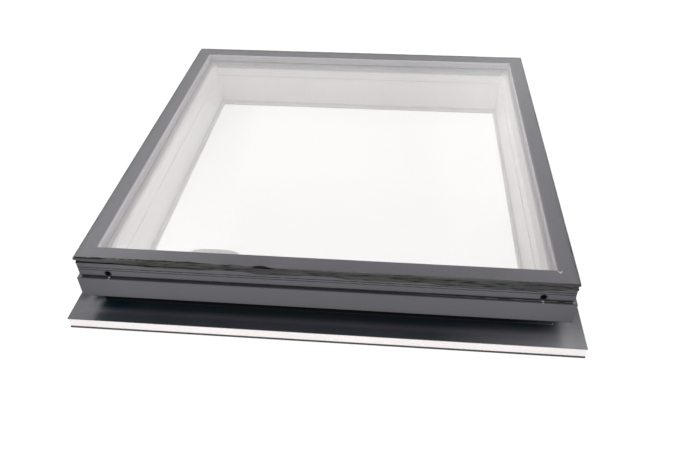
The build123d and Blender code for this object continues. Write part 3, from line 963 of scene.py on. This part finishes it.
# The rise in front of the base's lower corner also stands for its contact shadow, painted shade
outer_bulge = ((0.0, 0.0), (0.75, 0.5), (0.95, 1.5), (0.95, 3.6), (0.85, 4.8), (0.50, 5.3), (0.05, 5.4))
profile = [(tape_outer + out * mm, tape_low.z + rise * mm) for out, rise in outer_bulge]
profile += [
    (tape_outer + clear_of_base, tape_top),
    (tape_inner, tape_top),
    (tape_inner - inner_bulge, tape_top / 2),
    (tape_inner, tape_low.z),
]
vertices = [(sx * reach, sy * reach, z) for sx, sy in quarters for reach, z in profile]
faces = stitch(len(quarters), len(profile))
add_piece("squeezed_tape", vertices, faces, four("base_tape"), (foam,))

# %% [markdown]
# ## A bare label
#
# Behind the front border a pale label shows, stuck to the underside of the inner pane, with its
# corners cut round. It is blank here. It is a sheet of paper a tenth of a millimetre thick, drawn as
# a superellipse: a power of the sine and cosine of one angle that turns an ellipse into a rounded box.

# %% Label
label_middle = Vector((-230.0, -456.0)) * mm
label_half = Vector((57.0, 34.0)) * mm
label_power = 0.62
label_thickness = 0.12 * mm
label_points = 72

paper_label = new_finish("label_paper", (0.76, 0.72, 0.75), 0.55)
fibres = grain(paper_label, 320.0, stretch=(1.0, 3.0, 1.0), detail=3.0)
mottle(paper_label, fibres, 0.35, 0.65, (0.74, 0.70, 0.73), (0.79, 0.75, 0.78))
relief(paper_label, fibres, 0.02 * mm, 0.3)


def signed_power(value, power):
    return (1 if value >= 0 else -1) * abs(value) ** power


outline = []
for i in range(label_points):
    angle = 2 * pi * i / label_points
    x = label_middle.x + label_half.x * signed_power(cos(angle), label_power)
    y = label_middle.y + label_half.y * signed_power(sin(angle), label_power)
    outline.append((x, y))
label_top = inner_low.z + 0.02 * mm
label_bottom = label_top - label_thickness
vertices = [(x, y, z) for z in (label_top, label_bottom) for x, y in outline]
faces = [tuple(range(label_points)), tuple(range(2 * label_points - 1, label_points - 1, -1))]
for i in range(label_points):
    j = (i + 1) % label_points
    faces.append((i, label_points + i, label_points + j, j))
add_piece("label", vertices, faces, [], (paper_label,))

# %% [markdown]
# ## The sealant round the edge of the glass
#
# The outer pane is bonded to the sash with black silicone, tooled by hand. That is what makes this
# edge look real: the bead sinks and bulges, its foot wanders down the sash, and its lip climbs the
# edge of the glass and laps over the top, more at one end than at the other. It could be a displaced
# tube, but a bead has two feathered edges, so it is drawn as a section that changes along the way
# round. The lip is measured along a path that goes up the edge of the glass, over the arris and
# inwards across the top, and clouds of noise say how far it gets.

# %% Path of the lip over the edge of the glass
edge_rise = glass_top - arris - glass_bottom
arris_run = arris * sqrt(2)


def on_glass(travel, thickness):
    """Point of the sealant's skin after so much travel up and over the edge of the glass."""
    if travel < edge_rise:
        return thickness, glass_bottom + travel
    if travel < edge_rise + arris_run:
        share = (travel - edge_rise) / arris_run
        diagonal = thickness / sqrt(2)
        return -arris * share + diagonal, glass_top - arris * (1 - share) + diagonal
    return -arris - (travel - edge_rise - arris_run), glass_top + thickness


def clamp(value, low, high):
    return max(low, min(high, value))


def wander(way, wave, seed, octaves=3):
    """Smooth noise from -1 to 1 along the way round, with hills about one wave long."""
    return noise.fractal(Vector((way / wave, seed, 0.37 * seed)), 0.6, 2.1, octaves) * 1.4


print("Up the edge and over the arris:", round((edge_rise + arris_run) / mm, 2), "mm")

# %% How far the lip and the foot get
front_lips = (
    (-500, 9.2), (-410, 11.0), (-290, 11.0), (-215, 9.0), (-165, 9.5), (-143, 6.5), (-123, 11.0),
    (-85, 4.6), (120, 4.0), (183, 6.0), (232, 2.2), (350, 2.2), (420, 5.5), (475, 5.5), (500, 7.0),
)
front_feet = (
    (-500, -2.0), (-415, -1.5), (-385, 1.2), (-335, 3.4), (-245, 3.6), (-205, 1.0), (-160, 1.5),
    (-120, 7.0), (-80, 6.2), (0, 2.8), (20, 3.2), (60, 7.8), (140, 7.8), (205, 5.8), (240, 9.3),
    (410, 10.0), (460, 8.0), (500, 5.5),
)
plain_lip = 7.0
plain_foot = 4.5


def along_list(pairs, place):
    """A value in millimetres, blended smoothly between the pairs of (place, value)."""
    place = clamp(place / mm, pairs[0][0], pairs[-1][0])
    for (x0, value0), (x1, value1) in zip(pairs, pairs[1:]):
        if place <= x1:
            share = (place - x0) / (x1 - x0)
            share = share * share * (3 - 2 * share)
            return value0 + (value1 - value0) * share
    return pairs[-1][1]


print("Lip at the left end of the front:", round(along_list(front_lips, -0.4), 1), "mm")

# %% [markdown]
# The section has two shapes. Where the gun was held low, the foot runs down the face of the sash and
# stands out from it. Where it was held high, the bead stops above the sash and leaves a dark crack
# under it. The two shapes have the same number of points, so one can flow into the other.

# %% Section of the bead
bead_back = 26.0 * mm
skin = 0.34 * mm
under = 0.03 * mm
face_steps = 7
lip_steps = 9


def foot_points(foot, swell):
    """Four points of the bead's foot as (distance outwards, height)."""
    deep = max(foot, 1.0) * mm
    stand = (1.0 + swell) * min(1.0, 0.35 + foot / 6) * mm if foot > 0 else 0.35 * mm
    low = [
        (sash_face + under, sash_top - deep),
        (sash_face + 0.7 * stand + under, sash_top - 0.86 * deep),
        (sash_face + stand, sash_top - 0.50 * deep),
        (sash_face + stand, sash_top - 0.1 * mm),
    ]
    crack = max(-foot, 0.6) * mm
    high = [
        (sash_face + under, sash_top - 1.0 * mm),
        (sash_face - 0.4 * mm, sash_top + 0.15 * mm),
        (sash_face - 3.6 * mm, sash_top + 0.25 * mm),
        (sash_face + 0.1 * mm, sash_top + crack),
    ]
    share = clamp((1.0 - foot) / 1.6, 0, 1)
    share = share * share * (3 - 2 * share)
    return [(a[0] + (b[0] - a[0]) * share, a[1] + (b[1] - a[1]) * share) for a, b in zip(low, high)]


def bead_section(side, place):
    """The bead's section as (distance outwards, height), from its foot round its lip to its back."""
    way = side + place
    near_corner = clamp((abs(place) - half_glass + 12 * mm) / (10 * mm), 0, 1)
    foot = along_list(front_feet, place) if side == 0 else plain_foot + 1.5 * wander(way, 0.10, 3.1)
    foot = clamp(foot + 0.5 * wander(way, 0.022, 5.3), -2.2, 11.0)
    lip = along_list(front_lips, place) if side == 0 else plain_lip + 1.2 * wander(way, 0.045, 7.7)
    lap = clamp(lip + 0.7 * wander(way, 0.016, 9.1), 1.2, 14.0) * mm
    swell = 0.5 * wander(way, 0.06, 11.3)
    points = foot_points(foot, swell)
    start_out, start_z = points[-1]
    for i in range(1, face_steps):
        t = i / face_steps
        hollow = (-1.1 + swell - 0.8 * near_corner) * mm * sin(pi * t)
        ripple = 0.12 * mm * wander(way + 9 * t * mm, 0.011, 17.9, 2)
        out = start_out + (-0.2 * mm - start_out) * t + hollow + ripple
        points.append((out, start_z + (glass_bottom - start_z) * t))
    film = skin * (1 - 0.7 * near_corner)
    for i in range(lip_steps):
        t = i / (lip_steps - 1)
        ripple = 1 + 0.22 * wander(way + 2 * t * mm, 0.009, 23.3, 2)
        thickness = film * ripple * (1 - t ** 4) + under
        points.append(on_glass(lap * t, min(thickness, 0.48 * mm)))
    for i in range(lip_steps - 1, -1, -1):
        points.append(on_glass(lap * i / (lip_steps - 1), 0.4 * under))
    points += [
        (-bead_back, glass_bottom - 0.36 * mm),
        (-bead_back, sash_top + under),
        (sash_face - 0.9 * mm, sash_top + under),
        (sash_face + 0.5 * under, sash_top - 0.9 * mm),
    ]
    return points


print("Points in one section:", len(bead_section(0, 0.0)))

# %% [markdown]
# Silicone that was wiped with a finger is streaky: dull ridges along its run, with dark furrows between
# them. The front has marks of its own. At its left end a dark crack lies under the bead, painted black
# as painted shade, and a second stretch of crack further on is painted the same way. A black line,
# broken here and there, runs along the edge of the glass. Further on there is a black lump, and towards
# the right the lip is smooth.

# %% Silicone
crack_shade_black = (0.002, 0.002, 0.002)
sealant = new_finish("glazing_silicone", (0.020, 0.020, 0.019), 0.5)
shader_of(sealant).inputs["Specular IOR Level"].default_value = 0.32
streaks = grain(sealant, 330.0, stretch=(0.09, 0.09, 1.0), detail=3.0)
smears = grain(sealant, 60.0, stretch=(0.3, 0.3, 1.0), detail=3.0)
dust = grain(sealant, 420.0, detail=3.0)
mottle(sealant, smears, 0.35, 0.65, (0.017, 0.017, 0.016), (0.032, 0.032, 0.031))
cover(sealant, between(sealant, streaks, 0.53, 0.64), (0.006, 0.006, 0.006), 0.12)
roughen(sealant, between(sealant, dust, 0.3, 0.7, 0.42, 0.62))
relief(sealant, streaks, 0.4 * mm, 0.5)
print("Plain sealant:", len(sealant.node_tree.nodes), "nodes")

# %% Marks on the front of the bead
along = along_axis(sealant, "X")
depth = along_axis(sealant, "Y")
height = along_axis(sealant, "Z")
at_front = ramp(sealant, depth, -460, -480)


def by_place(start, end):
    """Rises from 0 to 1 between two places along the front, in millimetres from its middle."""
    return ramp(sealant, along, start, end)


def by_height(level, start, end, most=1.0):
    """Rises between two heights, in millimetres above a level."""
    return between(sealant, height, level + start * mm, level + end * mm, 0.0, most)


at_left = overlap(sealant, at_front, by_place(-375, -425))
cover(sealant, overlap(sealant, at_left, by_height(sash_top, 3.0, 4.2)), (0.030, 0.029, 0.030), 0.4)
# Painted shade: the crack under the bead is painted black, at the left end and further on
cover(sealant, overlap(sealant, at_left, by_height(sash_top, 4.2, 2.8)), crack_shade_black, 0.0)
crack_height = overlap(sealant, by_height(sash_top, 2.6, 1.8), by_height(sash_top, -0.2, 0.4, 0.75))
cover(sealant, overlap(sealant, at_front, by_place(-215, -240), crack_height), crack_shade_black, 0.02)

tip_start = ramp(sealant, along, -425, -440, -half_glass + 1.0 * mm, -half_glass - 0.4 * mm)
past_tip = combine(sealant, "SUBTRACT", depth, tip_start)
unbroken = combine(sealant, "MAXIMUM", by_place(-425, -440), by_place(-335, -325))
skipping = between(sealant, grain(sealant, 70.0, detail=2.0), 0.46, 0.54)
black_line = overlap(
    sealant,
    at_front,
    between(sealant, past_tip, 0.0, 0.6 * mm),
    by_place(-205, -225),
    combine(sealant, "MAXIMUM", unbroken, skipping),
    by_height(glass_top, -0.9, -0.5),
)
cover(sealant, black_line, (0.004, 0.004, 0.005), 0.08)

smooth_lip = overlap(sealant, at_front, by_place(100, 140), by_height(glass_top, -0.4, -0.1))
cover(sealant, smooth_lip, (0.012, 0.012, 0.012), 0.16)
lump = overlap(sealant, by_place(-136, -130), by_place(-90, -96), by_height(glass_top, -3.6, -2.4))
cover(sealant, overlap(sealant, at_front, lump), (0.003, 0.003, 0.003), 0.05)
print("With its marks:", len(sealant.node_tree.nodes), "nodes")

# %% Sweep the section round the glass
stations = 420
vertices = []
for side in range(4):
    for i in range(stations):
        t = -1 + 2 * i / stations
        for out, z in bead_section(side, t * half_glass):
            reach = half_glass + out
            x, y = t * reach, -reach
            for _ in range(side):
                x, y = -y, x
            vertices.append((x, y, z))
rings = 4 * stations
faces = stitch(rings, len(vertices) // rings)
bead = add_piece("silicone_bead", vertices, faces, ["glazing_bead"], (sealant,))
bead.data.polygons.foreach_set("use_smooth", [True] * len(bead.data.polygons))
